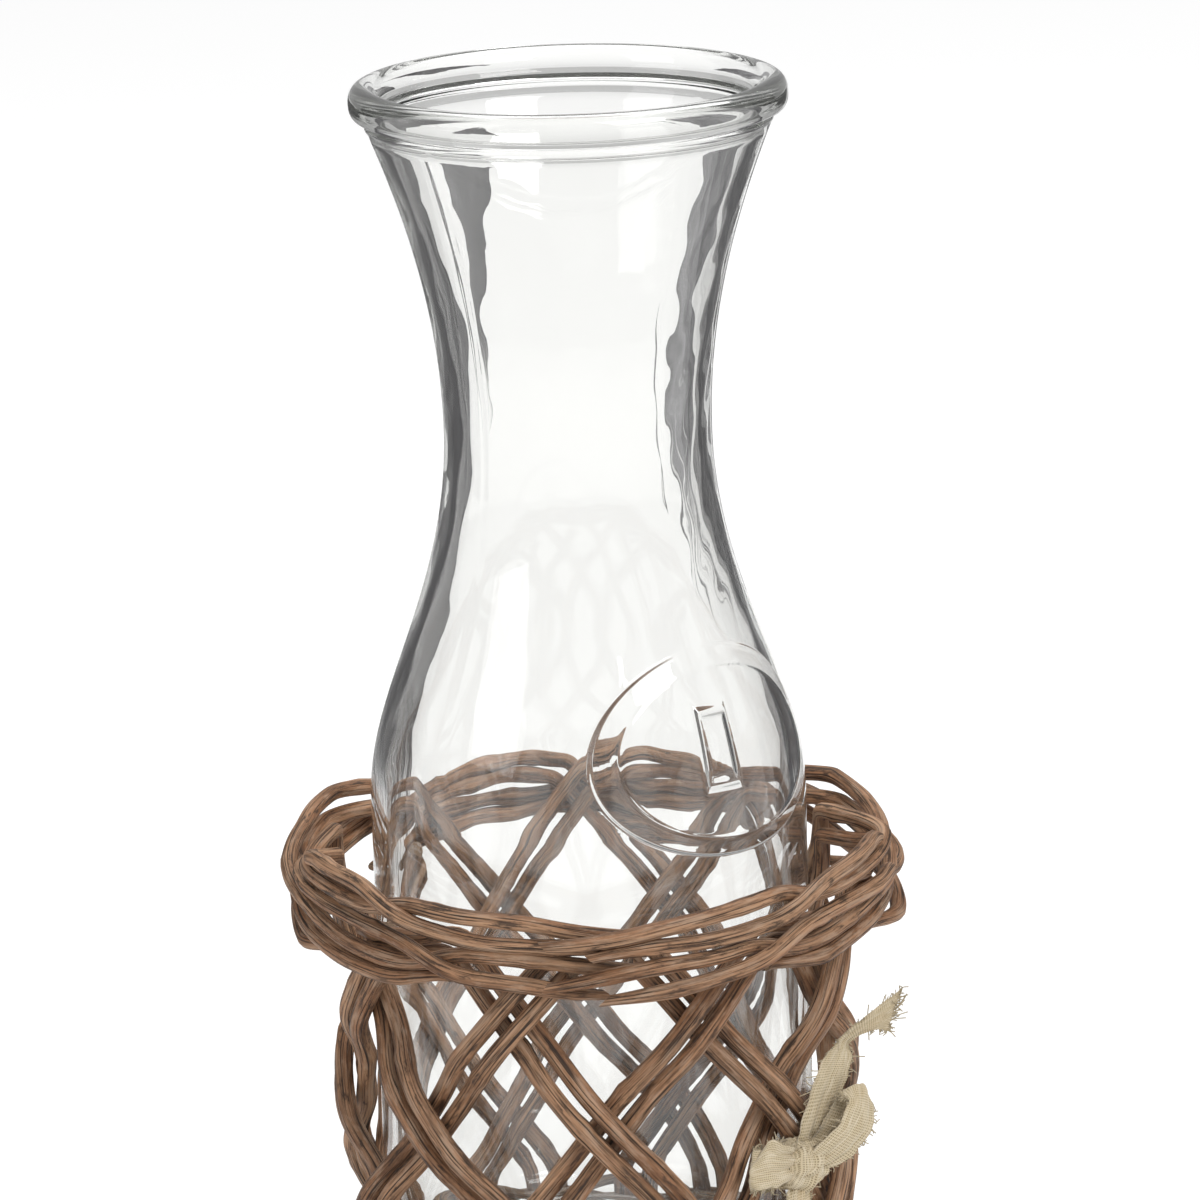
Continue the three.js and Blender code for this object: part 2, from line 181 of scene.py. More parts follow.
# %% [markdown]
# ### Clear pressed glass
# Clear soda glass, pressed in a mould. It is faintly grey where it is thick, and the mould leaves a fine
# uneven skin and a trace of haze. A thin shell with a transparent shader would be quicker, but only a
# closed wall with a real refractive index bends what stands behind it, and that bending is what the eye
# takes for glass.

# %% Clear glass
def clear_glass():
    material, tree, shader, output = new_material("clear_pressed_glass")
    shader.inputs["Base Color"].default_value = colour("#fdfdfc")
    shader.inputs["Roughness"].default_value = 0.0
    shader.inputs["IOR"].default_value = 1.5
    shader.inputs["Transmission Weight"].default_value = 0.99
    place = in_millimetres(tree)
    skin = noise_of(tree, place, (0.16, 0.16, 0.1), detail=2.0)
    bump = add_node(tree, "ShaderNodeBump", {"Height": skin, "Strength": 1.0, "Distance": 0.00001})
    tree.links.new(bump.outputs["Normal"], shader.inputs["Normal"])
    tint = {"Color": colour("#c8cac6"), "Density": 30.0}
    volume = add_node(tree, "ShaderNodeVolumeAbsorption", tint)
    tree.links.new(volume.outputs["Volume"], output.inputs["Volume"])
    return material


GLASS = clear_glass()
print("made", GLASS.name)

# %% [markdown]
# ### Willow
# Each rod carries its own straight coordinates in an attribute named bark: along the rod and across it, in
# millimetres. The grain, cracks and weathered film are drawn along the rod with them. Object coordinates
# would be simpler, but the grain would then cut straight through every bend.

# %% Willow
def willow(name, light, middle, dark, film, film_share):
    material, tree, shader, _ = new_material(name)
    place = add_node(tree, "ShaderNodeAttribute", attribute_name="bark").outputs["Vector"]
    tone = noise_of(tree, place, (0.006, 0.05, 0.05), detail=1.0)
    broad = noise_of(tree, place, (0.02, 0.25, 0.25), detail=4.0)
    grain = noise_of(tree, place, (0.07, 1.6, 1.6), detail=4.0, roughness=0.65)
    cracks = noise_of(tree, place, (0.05, 2.6, 2.6), detail=3.0, roughness=0.6)
    flakes = noise_of(tree, place, (0.12, 0.5, 0.5), detail=5.0, roughness=0.7)
    wood = lay_over(tree, colour(middle), colour(light), broad, 0.36, 0.64)
    wood = lay_over(tree, wood, colour(dark), grain, 0.42, 0.66, 0.85)
    wood = lay_over(tree, wood, colour(dark), tone, 0.5, 0.66, 0.5)
    wood = lay_over(tree, wood, colour(film), flakes, 0.5, 0.62, film_share)
    wood = lay_over(tree, wood, colour("#20150e"), cracks, 0.54, 0.61, 0.9)
    wood = lay_over(tree, wood, colour("#33261d"), flakes, 0.44, 0.36, 0.85)
    tree.links.new(wood, shader.inputs["Base Color"])
    shader.inputs["Roughness"].default_value = 0.62
    shader.inputs["Specular IOR Level"].default_value = 0.35
    depth = {"Value": cracks, "From Min": 0.54, "From Max": 0.61}
    crack = add_node(tree, "ShaderNodeMapRange", depth, clamp=True).outputs["Result"]
    grooves = add_node(tree, "ShaderNodeMath", {0: grain, 1: crack}, operation="SUBTRACT").outputs[0]
    bump = add_node(tree, "ShaderNodeBump", {"Height": grooves, "Strength": 0.7, "Distance": 0.0003})
    tree.links.new(bump.outputs["Normal"], shader.inputs["Normal"])
    return material


def cut_wood():
    material, tree, shader, _ = new_material("cut_willow_end")
    place = in_millimetres(tree)
    rings = noise_of(tree, place, (2.2, 2.2, 2.2), detail=3.0)
    wood = lay_over(tree, colour("#43352a"), colour("#85694f"), rings, 0.35, 0.65)
    tree.links.new(wood, shader.inputs["Base Color"])
    shader.inputs["Roughness"].default_value = 0.8
    return material


BROWN_WILLOW = willow("brown_willow_bark", "#b38c6c", "#8a6143", "#48301f", "#ab927c", 0.5)
GREY_WILLOW = willow("weathered_willow_bark", "#a98c6d", "#8b6e54", "#5a4535", "#98897a", 0.6)
CUT_WILLOW = cut_wood()
print("made", BROWN_WILLOW.name, GREY_WILLOW.name, CUT_WILLOW.name)

# %% [markdown]
# ### Cotton gauze
# A thin, loosely woven cotton strip, unbleached and dull. It carries its flat coordinates in an attribute
# named weave: along and across, in millimetres, so the threads follow every fold. Two crossed waves draw
# the threads, coarser than the real ones, which would be too fine to show.

# %% Gauze
THREAD_SPACING = 0.5


def gauze():
    material, tree, shader, _ = new_material("ecru_cotton_gauze")
    place = add_node(tree, "ShaderNodeAttribute", attribute_name="weave").outputs["Vector"]
    parts = add_node(tree, "ShaderNodeSeparateXYZ", {"Vector": place})
    per_thread = 2 * math.pi / THREAD_SPACING
    waves = []
    for axis in ("X", "Y"):
        inputs = {0: parts.outputs[axis], 1: per_thread}
        turned = add_node(tree, "ShaderNodeMath", inputs, operation="MULTIPLY")
        waves.append(add_node(tree, "ShaderNodeMath", {0: turned.outputs[0]}, operation="SINE").outputs[0])
    threads = add_node(tree, "ShaderNodeMath", {0: waves[0], 1: waves[1]}, operation="MAXIMUM").outputs[0]
    slubs = noise_of(tree, place, (0.25, 1.6, 1.0), detail=3.0)
    stains = noise_of(tree, place, (0.12, 0.12, 0.12), detail=3.0)
    cloth = lay_over(tree, colour("#85765a"), colour("#c4b598"), threads, -0.4, 0.7)
    cloth = lay_over(tree, cloth, colour("#d9ceb9"), slubs, 0.45, 0.7, 0.5)
    cloth = lay_over(tree, cloth, colour("#b7a17d"), stains, 0.5, 0.75, 0.4)
    tree.links.new(cloth, shader.inputs["Base Color"])
    shader.inputs["Roughness"].default_value = 0.95
    shader.inputs["Specular IOR Level"].default_value = 0.1
    shader.inputs["Sheen Weight"].default_value = 0.25
    bump = add_node(tree, "ShaderNodeBump", {"Height": threads, "Strength": 0.3, "Distance": 0.0001})
    tree.links.new(bump.outputs["Normal"], shader.inputs["Normal"])
    return material


GAUZE = gauze()
print("made", GAUZE.name)

# %% [markdown]
# ## The glass carafe
# One outline goes up the outside, over the lip and down the inside. It is spun round the axis, and the
# raised seal, the two mould seams and the uneven inside are then pushed out of the wall. A stack of
# cylinders could give the same outline, but a spin keeps the wall one closed skin, which the light needs.

# %% Glass sizes
BODY_RADIUS = 45.0
WAIST_RADIUS = 27.55
COLLAR_RADIUS = 41.4
GLASS_FOOT = 9.7
SHOULDER_LEVEL = 116.4
WAIST_LEVEL = 192.9
COLLAR_LEVEL = 255.9
LIP_LEVEL = 265.0
LIP_RADIUS = COLLAR_RADIUS + 3.4
GLASS_WALL = 3.0
GLASS_BASE = 7.0
HEEL_RADIUS = 12.0
FOOT_WIDTH = 4.0
PUNT_RISE = 2.0
COLLAR_LEAN = math.radians(22.3)
SEAL_FOOT = 109.0
SPIN_STEPS = 240


def arc(centre, radius, start, end, steps):
    turns = np.radians(np.linspace(start, end, steps))
    return [(centre[0] + radius * math.cos(a), centre[1] + radius * math.sin(a)) for a in turns]


def curve_of(ends, pulls, steps):
    """A cubic curve between two ends with a pull point next to each."""
    t = np.linspace(0, 1, steps)[:, None]
    a, b, c, d = (np.array(p) for p in (ends[0], pulls[0], pulls[1], ends[1]))
    places = (1 - t) ** 3 * a + 3 * (1 - t) ** 2 * t * b + 3 * (1 - t) * t * t * c + t ** 3 * d
    return [tuple(p) for p in places]


def neck_wall(inset, low_steps, high_steps):
    body = (BODY_RADIUS - inset, SHOULDER_LEVEL)
    waist = (WAIST_RADIUS - inset, WAIST_LEVEL)
    collar = (COLLAR_RADIUS - inset, COLLAR_LEVEL)
    under = (collar[0] - 22 * math.sin(COLLAR_LEAN), collar[1] - 22 * math.cos(COLLAR_LEAN))
    low = curve_of((body, waist), ((body[0], body[1] + 22), (waist[0], waist[1] - 34)), low_steps)
    high = curve_of((waist, collar), ((waist[0], waist[1] + 22), under), high_steps)
    return low + high[1:]


def straight_wall(radius, low, high, steps):
    return [(radius, level) for level in np.linspace(low, high, steps)]


def lip_outline():
    """The collar's band and groove, then the thick rounded lip."""
    mouth = COLLAR_RADIUS - GLASS_WALL
    bead = COLLAR_LEVEL + 1.8
    crown = (LIP_RADIUS + mouth) / 2
    band = [(COLLAR_RADIUS + 0.25, COLLAR_LEVEL + 0.3), (COLLAR_RADIUS + 0.3, COLLAR_LEVEL + 0.9)]
    groove = [(COLLAR_RADIUS, COLLAR_LEVEL + 1.4), (COLLAR_RADIUS - 0.3, bead)]
    under = curve_of(((COLLAR_RADIUS, bead + 0.3), (LIP_RADIUS, LIP_LEVEL - 3.4)),
                     ((COLLAR_RADIUS + 2.6, bead + 0.5), (LIP_RADIUS, LIP_LEVEL - 6.2)), 10)
    over = curve_of(((LIP_RADIUS, LIP_LEVEL - 3.4), (crown, LIP_LEVEL)),
                    ((LIP_RADIUS, LIP_LEVEL - 1.2), (crown + 2.0, LIP_LEVEL)), 10)
    inside = curve_of(((crown, LIP_LEVEL), (mouth, LIP_LEVEL - 4.5)),
                      ((crown - 2.0, LIP_LEVEL), (mouth, LIP_LEVEL - 1.6)), 10)
    return band + groove + under + over[1:] + inside[1:]


def glass_outline():
    foot = BODY_RADIUS - HEEL_RADIUS
    foot_inside = foot - FOOT_WIDTH
    punt = curve_of(((0, GLASS_FOOT + PUNT_RISE), (foot_inside, GLASS_FOOT)),
                    ((foot_inside * 0.4, GLASS_FOOT + PUNT_RISE), (foot_inside * 0.8, GLASS_FOOT + 1)), 10)
    heel = arc((foot, GLASS_FOOT + HEEL_RADIUS), HEEL_RADIUS, -90, 0, 12)
    inner_heel = HEEL_RADIUS - GLASS_WALL
    inner_radius = BODY_RADIUS - GLASS_WALL
    floor = GLASS_FOOT + GLASS_BASE
    outside = punt + heel + straight_wall(BODY_RADIUS, GLASS_FOOT + HEEL_RADIUS, SEAL_FOOT, 24)[1:]
    outside += straight_wall(BODY_RADIUS, SEAL_FOOT, SHOULDER_LEVEL, 10)[1:]
    outside += neck_wall(0, 90, 34)[1:]
    down = neck_wall(GLASS_WALL, 34, 30)[::-1]
    down += straight_wall(inner_radius, floor + inner_heel, SHOULDER_LEVEL, 20)[::-1][1:]
    down += arc((inner_radius - inner_heel, floor + inner_heel), inner_heel, 0, -90, 10)[1:]
    down += [(share * (inner_radius - inner_heel), floor) for share in (0.66, 0.33, 0)]
    return outside + lip_outline() + down


outline = glass_outline()
print("the glass outline has", len(outline), "points")

# %% [markdown]
# The seal is a low oval plate with a fine step all round, a sloping border and a small bare tablet. It
# could be a solid of its own, but it is part of the same glass, so its faces are cut finer and pushed out
# of the wall.

# %% Push the seal, the seams and the uneven inside out of the wall
SEAL_ANGLE = 43.0
SEAL_HALF_ANGLE = 43.0
SEAL_LEVEL = SHOULDER_LEVEL + 15
SEAL_HALF_HEIGHT = 21.0
SEAL_RISE = 0.55
SEAL_EDGE = 0.19
SEAL_STEP = 0.42
TABLET_RISE = 0.5
SEAM_ANGLES = (-43.5, 136.5)


def seal_shares(angle, level):
    """How far out a place is on the seal and on its tablet, with 1 at the edge of each."""
    aside = (angle - SEAL_ANGLE + 180) % 360 - 180
    on_seal = np.hypot(aside / SEAL_HALF_ANGLE, (level - SEAL_LEVEL) / SEAL_HALF_HEIGHT)
    on_tablet = np.maximum(np.abs(aside + 5.0) / 5.4, np.abs(level - SEAL_LEVEL - 1.5) / 8.4)
    return on_seal, on_tablet


def seal_rise(angle, level):
    """How far the seal stands out at a place on the wall."""
    on_seal, on_tablet = seal_shares(angle, level)
    plate = SEAL_RISE * np.clip((1.0 - on_seal) / SEAL_EDGE, 0, 1)
    step = SEAL_STEP * np.clip((1.0 - on_seal) / 0.024, 0, 1)
    crease = 0.08 * np.exp(-((on_seal - 1.0 + SEAL_EDGE) / 0.018) ** 2)
    frame = TABLET_RISE * np.exp(-((on_tablet - 0.85) / 0.13) ** 2)
    return plate + step + crease + frame


def refine_seal(piece):
    """Cut the faces finer along the edge of the seal and on its tablet."""
    mesh = piece.data
    places = np.array([face.center for face in mesh.polygons]) / MM
    normals = np.array([face.normal for face in mesh.polygons])
    outside = (places[:, :2] * normals[:, :2]).sum(axis=1) > 0
    angle = np.degrees(np.arctan2(places[:, 0], -places[:, 1]))
    on_seal, on_tablet = seal_shares(angle, places[:, 2])
    bpy.ops.object.mode_set(mode="EDIT")
    bpy.ops.mesh.select_all(action="DESELECT")
    bpy.ops.mesh.select_mode(type="FACE")
    bpy.ops.object.mode_set(mode="OBJECT")
    by_line = (np.abs(on_seal - 0.99) < 0.05) | (np.abs(on_seal - 1.0 + SEAL_EDGE) < 0.035)
    mesh.polygons.foreach_set("select", outside & (by_line | (on_tablet < 1.3)))
    bpy.ops.object.mode_set(mode="EDIT")
    bpy.ops.mesh.subdivide(number_cuts=3)
    bpy.ops.object.mode_set(mode="OBJECT")


def seam_rise(angle, level):
    """The mould leaves a thin line down each side of the neck."""
    rise = 0.11 * np.clip((level - SHOULDER_LEVEL) / 60, 0, 1)
    return sum(rise * np.exp(-(((angle - seam + 180) % 360 - 180) / 0.8) ** 2) for seam in SEAM_ANGLES)


def uneven(angle, level):
    """Long upright waves inside the wall, which the plunger leaves."""
    waves = np.zeros_like(angle)
    for count, size, lean in ((5, 0.05, 0.004), (9, 0.035, -0.01), (14, 0.02, 0.013), (23, 0.011, -0.02)):
        waves += size * np.sin(np.radians(count * angle) + lean * count * level + 1.7 * count)
    return waves


def spin_outline(name, places, steps):
    """Turn an outline of (radius, level) round the Z axis into a closed piece."""
    deselect_all()
    mesh = bpy.data.meshes.new(name)
    edges = [(i, i + 1) for i in range(len(places) - 1)]
    mesh.from_pydata([(r * MM, 0, z * MM) for r, z in places], edges, [])
    piece = bpy.data.objects.new(name, mesh)
    bpy.context.collection.objects.link(piece)
    bpy.context.view_layer.objects.active = piece
    piece.select_set(True)
    bpy.ops.object.mode_set(mode="EDIT")
    bpy.ops.mesh.select_all(action="SELECT")
    bpy.ops.mesh.spin(steps=steps, angle=2 * math.pi, center=(0, 0, 0), axis=(0, 0, 1))
    bpy.ops.mesh.select_all(action="SELECT")
    bpy.ops.mesh.remove_doubles(threshold=0.01 * MM)
    bpy.ops.mesh.normals_make_consistent(inside=False)
    bpy.ops.object.mode_set(mode="OBJECT")
    bpy.ops.object.shade_smooth()
    return piece


def press_details(piece):
    places = corners_of(piece.data) / MM
    radius = np.hypot(places[:, 0], places[:, 1])
    level = places[:, 2]
    angle = np.degrees(np.arctan2(places[:, 0], -places[:, 1]))
    levels = [z for r, z in neck_wall(0, 90, 34)]
    radii = [r for r, z in neck_wall(0, 90, 34)]
    wall = np.interp(level, [GLASS_FOOT + HEEL_RADIUS] + levels, [BODY_RADIUS] + radii)
    on_outside = (radius > wall - 0.8) & (level > GLASS_FOOT + HEEL_RADIUS) & (level < COLLAR_LEVEL + 0.1)
    on_inside = (np.abs(radius - wall + GLASS_WALL) < 0.4) & (level > GLASS_FOOT + GLASS_BASE + HEEL_RADIUS)
    fade = np.clip((COLLAR_LEVEL - level) / 12, 0, 1)
    push = np.where(on_outside, seal_rise(angle, level) + seam_rise(angle, level), 0)
    push += np.where(on_inside, fade * uneven(angle, level), 0)
    share = (np.where(on_outside, wall, radius) + push) / np.maximum(radius, 1e-6)
    places[:, 0] *= share
    places[:, 1] *= share
    set_corners(piece.data, places * MM)


carafe = spin_outline("glass_carafe_fine", outline, SPIN_STEPS)
refine_seal(carafe)
press_details(carafe)
carafe.data.materials.append(GLASS)
carafe.visible_shadow = False
take_up(carafe, "carafe", "clear_glass", "glass_carafe")
print("the glass has", len(carafe.data.polygons), "faces")

# %% [markdown]
# ## The willow
# Every rod follows the route of its solid in the frame. On the way it wanders a little, tapers and has
# knots, and in the border the two rods of a pair change places now and then. One rod could be modelled and
# copied round the basket, but no two willow rods are alike, so one function draws each route from the
# basket's few sizes.

# %% Willow sizes
ROD_RADIUS = 2.0
WEAVE_DEPTH = (2 * ROD_RADIUS + 0.7) / 2 / 0.97
WEAVE_RADIUS = BODY_RADIUS + 1 + ROD_RADIUS + WEAVE_DEPTH
PAIRS = 8
ROW_TURN = 360 / PAIRS / 2
ROW_PITCH = 23.6
TOP_CROSSING_ANGLE = -20.2
WALING_RADIUS = 1.7
WALING_PITCH = 3.75
WALING_DEPTH = (ROD_RADIUS + WALING_RADIUS + 0.7) / 0.97
FOOT_FLAT = 0.5
BAND_TOP = WALING_RADIUS - FOOT_FLAT + 3 * WALING_PITCH + WALING_RADIUS
BAND_TO_LATTICE = 18.6
LOWEST_ROW = BAND_TOP + BAND_TO_LATTICE
TOP_ROW = LOWEST_ROW + 2 * ROW_PITCH
CLIMB = ROW_PITCH / ROW_TURN
LATTICE_SLOPE = math.atan2(ROW_PITCH, WEAVE_RADIUS * math.radians(ROW_TURN))
PAIR_SPACING = 2 * ROD_RADIUS + 1
HALF_PAIR_ANGLE = math.degrees(PAIR_SPACING / 2 / math.sin(LATTICE_SLOPE) / WEAVE_RADIUS)
FOOT_BEND = LOWEST_ROW - ROW_PITCH / 2
STAKE_FOOT = 0.8
BORDER_ROD_RADIUS = 1.7
BORDER_GAP = 0.45
STRAND_PITCH = 2 * BORDER_ROD_RADIUS + 0.8
SIDE_ANGLE = 80.0
FRONT_SLOPE = 9.6 / SIDE_ANGLE
BACK_SLOPE = STRAND_PITCH / ROW_TURN
PAIR_RISE = (STRAND_PITCH + 2 * BACK_SLOPE * HALF_PAIR_ANGLE) / (1 + BACK_SLOPE / CLIMB)
INNER_BORDER = WEAVE_RADIUS + WEAVE_DEPTH + ROD_RADIUS + BORDER_ROD_RADIUS + BORDER_GAP
OUTER_BORDER = INNER_BORDER + 2 * BORDER_ROD_RADIUS + BORDER_GAP
TIP_LEVEL = TOP_ROW + 8
SEAM_ANGLE = -10.0
SEAM_LAP = 22.0
SEAM_STAGGER = 9.0
SEAM_DIVE = 18.0
SWAP_LENGTH = 26.0
TIP_TAPER = 14.0
TIP_TUCK = 3.8
BACK_PACK = 0.25
BACK_LEVEL = TOP_ROW + 23.5
FLOOR_STICK_RADIUS = 1.5
FLOOR_COUNT = 5
FLOOR_MIDDLE = 6.1
FLOOR_WAVE = 1.8
FLOOR_REACH = WEAVE_RADIUS - WALING_DEPTH - WALING_RADIUS - 0.3
FLOOR_SPACING = (FLOOR_REACH + 0.3 - 12.2) / 2
print("weave radius", round(WEAVE_RADIUS, 2), "rows at", round(LOWEST_ROW, 2), "to", round(TOP_ROW, 2), "mm")

# %% Routes of the rods


def flattened(wave):
    return wave * (1.5 - 0.5 * wave * wave)


def weave(level):
    """Outside (1) or inside (-1) of the wall at a level, for a stake that leans right."""
    if level >= TOP_ROW:
        return 1.0
    if level >= LOWEST_ROW:
        return flattened(math.cos(math.pi * (TOP_ROW - level) / ROW_PITCH))
    return (1 + flattened(math.cos(math.pi * min((LOWEST_ROW - level) / BAND_TO_LATTICE, 1)))) / 2


def over_lane(to_front):
    """The level of a strand outside the border by how far it still is from the front, in degrees."""
    past_side = max(to_front - SIDE_ANGLE, 0)
    return FRONT_SLOPE * (to_front - past_side) + BACK_SLOPE * past_side


def course_of(pair, lean):
    """What becomes of a pair of stakes in the border, by its place round the basket."""
    over = {"rise": 26.8, "radius": OUTER_BORDER, "turn": 12, "lane": over_lane, "run": None}
    under = {"rise": 12, "radius": INNER_BORDER, "turn": 8.5, "lane": lambda x: 0.2 * x, "run": 30}
    behind = {"rise": 18, "radius": INNER_BORDER, "turn": 8.5, "lane": lambda x: 0.05 * x, "run": 104}
    short = {**over, "run": (12.5 - 26.8) / CLIMB}
    courses = [short, under, under, behind if lean > 0 else short, over, over, over, short]
    return courses[pair if lean > 0 else (PAIRS + 1 - pair) % PAIRS]


def swaps_of(pair, lean):
    """Where the two strands of a pair change places in the border, in degrees from the front."""
    random = np.random.default_rng(31 + pair + 10 * (lean > 0))
    return [at + random.uniform(-8, 8) for at in (84, 38)]


def stake_route(pair, leading, lean, seed):
    """Places along a stake and its radius at each of them."""
    course = course_of(pair, lean)
    lane = course["lane"]
    crest = TOP_ROW + course["rise"] + (0 if leading else PAIR_RISE)
    to_top = (TOP_ROW - FOOT_BEND) / CLIMB
    crest_travel = (crest - FOOT_BEND) / CLIMB
    pair_angle = TOP_CROSSING_ANGLE + 2 * ROW_TURN * pair
    foot_angle = (1 if leading else -1) * HALF_PAIR_ANGLE - to_top

    def angle_at(travel):
        return pair_angle + lean * (foot_angle + (travel + math.hypot(travel, 4)) / 2)

    crest_to_front = -lean * angle_at(crest_travel) % 360
    stagger = SEAM_STAGGER if leading else 0
    seam_to_front = stagger - SEAM_ANGLE - SEAM_LAP if lean > 0 else stagger + SEAM_ANGLE
    tip_to_front = (TIP_LEVEL - crest + over_lane(crest_to_front)) / FRONT_SLOPE
    run = course["run"] or crest_to_front - max(tip_to_front, seam_to_front)
    upper = -1 if leading else 1
    ends_early = course["run"] is None and tip_to_front > seam_to_front + 12
    swaps = swaps_of(pair, lean) if course["run"] is None and not ends_early else []
    places = []
    radii = []
    for travel in np.arange((STAKE_FOOT - FOOT_BEND) / CLIMB, crest_travel + run, 0.9):
        past = travel - crest_travel
        to_front = crest_to_front - past
        loose = ease(past / 16)
        twist = math.pi * sum(ease((at - to_front) / SWAP_LENGTH + 0.5) for at in swaps)
        from_seam = -lean * to_front - SEAM_ANGLE
        calm = 1 - 0.8 * math.exp(-(from_seam / 16) ** 2)
        rising = FOOT_BEND + CLIMB * travel
        falling = crest + lane(to_front) - lane(crest_to_front)
        falling += loose * upper * STRAND_PITCH / 2 * (math.cos(twist) - 1)
        falling += loose * 0.9 * wander(seed, travel, 24)
        falling += BACK_PACK * ease((to_front - 110) / 40) * (BACK_LEVEL - falling)
        level = (rising + falling) / 2 - math.hypot((rising - falling) / 2, 1.2)
        under_seam = ease(from_seam / SEAM_DIVE + 1) if lean > 0 else 0
        outside = course["radius"] + (INNER_BORDER - course["radius"]) * under_seam
        outside += loose * calm * (1.6 * upper * math.sin(twist) + 0.5 * wander(seed + 150, travel, 20))
        if course["radius"] == INNER_BORDER or ends_early:
            tucked = ease((past - run) / TIP_TAPER + 1)
            outside -= TIP_TUCK * tucked
            level += (1.8 if ends_early else 0) * tucked
        if lean < 0 and leading:
            outside += loose * 3.0 * math.exp(-((to_front - 86) / 20) ** 2)
        upright = WEAVE_RADIUS + lean * WEAVE_DEPTH * weave(level)
        turned = ease((past + 1) / (course["turn"] + 1))
        sway = 0.25 * wander(seed + 100, travel, 30)
        angle = angle_at(travel) + 0.35 * wander(seed + 50, travel, 45)
        radius = upright + (outside - upright) * turned + max(sway, -0.4)
        places.append(point_at(radius, angle, level + 0.3 * sway))
        thinned = ease((travel - to_top) / (crest_travel - to_top))
        tip = ease((past - run) / TIP_TAPER + 1) if run > 0 else 0
        radii.append((ROD_RADIUS + (BORDER_ROD_RADIUS - ROD_RADIUS) * thinned) * (1 - 0.35 * tip))
    return places, radii


def waling_route(row, seed):
    level = WALING_RADIUS - FOOT_FLAT + WALING_PITCH * row
    first = TOP_CROSSING_ANGLE - (TOP_ROW - FOOT_BEND) / CLIMB
    side = 1 if row % 2 == 0 else -1
    places = []
    for travel in np.linspace(3, 357, 300):
        bulge = side * WALING_DEPTH * flattened(math.cos(math.radians(PAIRS * travel)))
        sway = 0.25 * wander(seed, travel, 20) if row else 0
        places.append(point_at(WEAVE_RADIUS + bulge + 0.2 * sway, first + travel, level + sway))
    return places


def floor_route(index, crosswise):
    middle = (FLOOR_COUNT - 1) / 2
    aside = (index - middle) * FLOOR_SPACING
    half = math.sqrt(FLOOR_REACH ** 2 - (abs(aside) + FLOOR_STICK_RADIUS) ** 2)
    first = (1 if index % 2 == 0 else -1) * (-1 if crosswise else 1)
    places = []
    for along in np.linspace(-half, half, 60):
        wave = first * math.cos(math.pi * (along / FLOOR_SPACING + middle))
        level = FLOOR_MIDDLE + FLOOR_WAVE * wave
        places.append(np.array([aside, along, level] if crosswise else [along, aside, level]))
    return places


# %% [markdown]
# A rod starts as a round curve along its route. Its rings are then made uneven, swollen at the knots and
# cut off at a slant. A plain bevelled curve would do for wire, but the small lumps and cuts are what make
# it a twig.

# %% Make a rod
ROD_SIDES = 12


def round_curve(name, places, radii):
    """A tube along the places, made from a curve with a round bevel."""
    deselect_all()
    bpy.ops.curve.primitive_nurbs_path_add()
    tube = bpy.context.object
    tube.name = name
    data = tube.data
    data.splines.clear()
    spline = data.splines.new("POLY")
    spline.points.add(len(places) - 1)
    for point, place, radius in zip(spline.points, places, radii):
        point.co = (*(place * MM), 1)
        point.radius = radius
    data.bevel_depth = MM
    data.bevel_resolution = ROD_SIDES // 2 - 2
    data.use_fill_caps = True
    data.twist_mode = "MINIMUM"
    bpy.ops.object.convert(target="MESH")
    return bpy.context.object


def knots_along(length, seed):
    """Where a rod has its knots, and on which side."""
    random = np.random.default_rng(seed)
    knots = []
    at = random.uniform(6, 26)
    while at < length - 4:
        knots.append((at, random.uniform(0, 2 * math.pi), random.uniform(0.5, 1.0)))
        at += random.uniform(18, 42)
    return knots


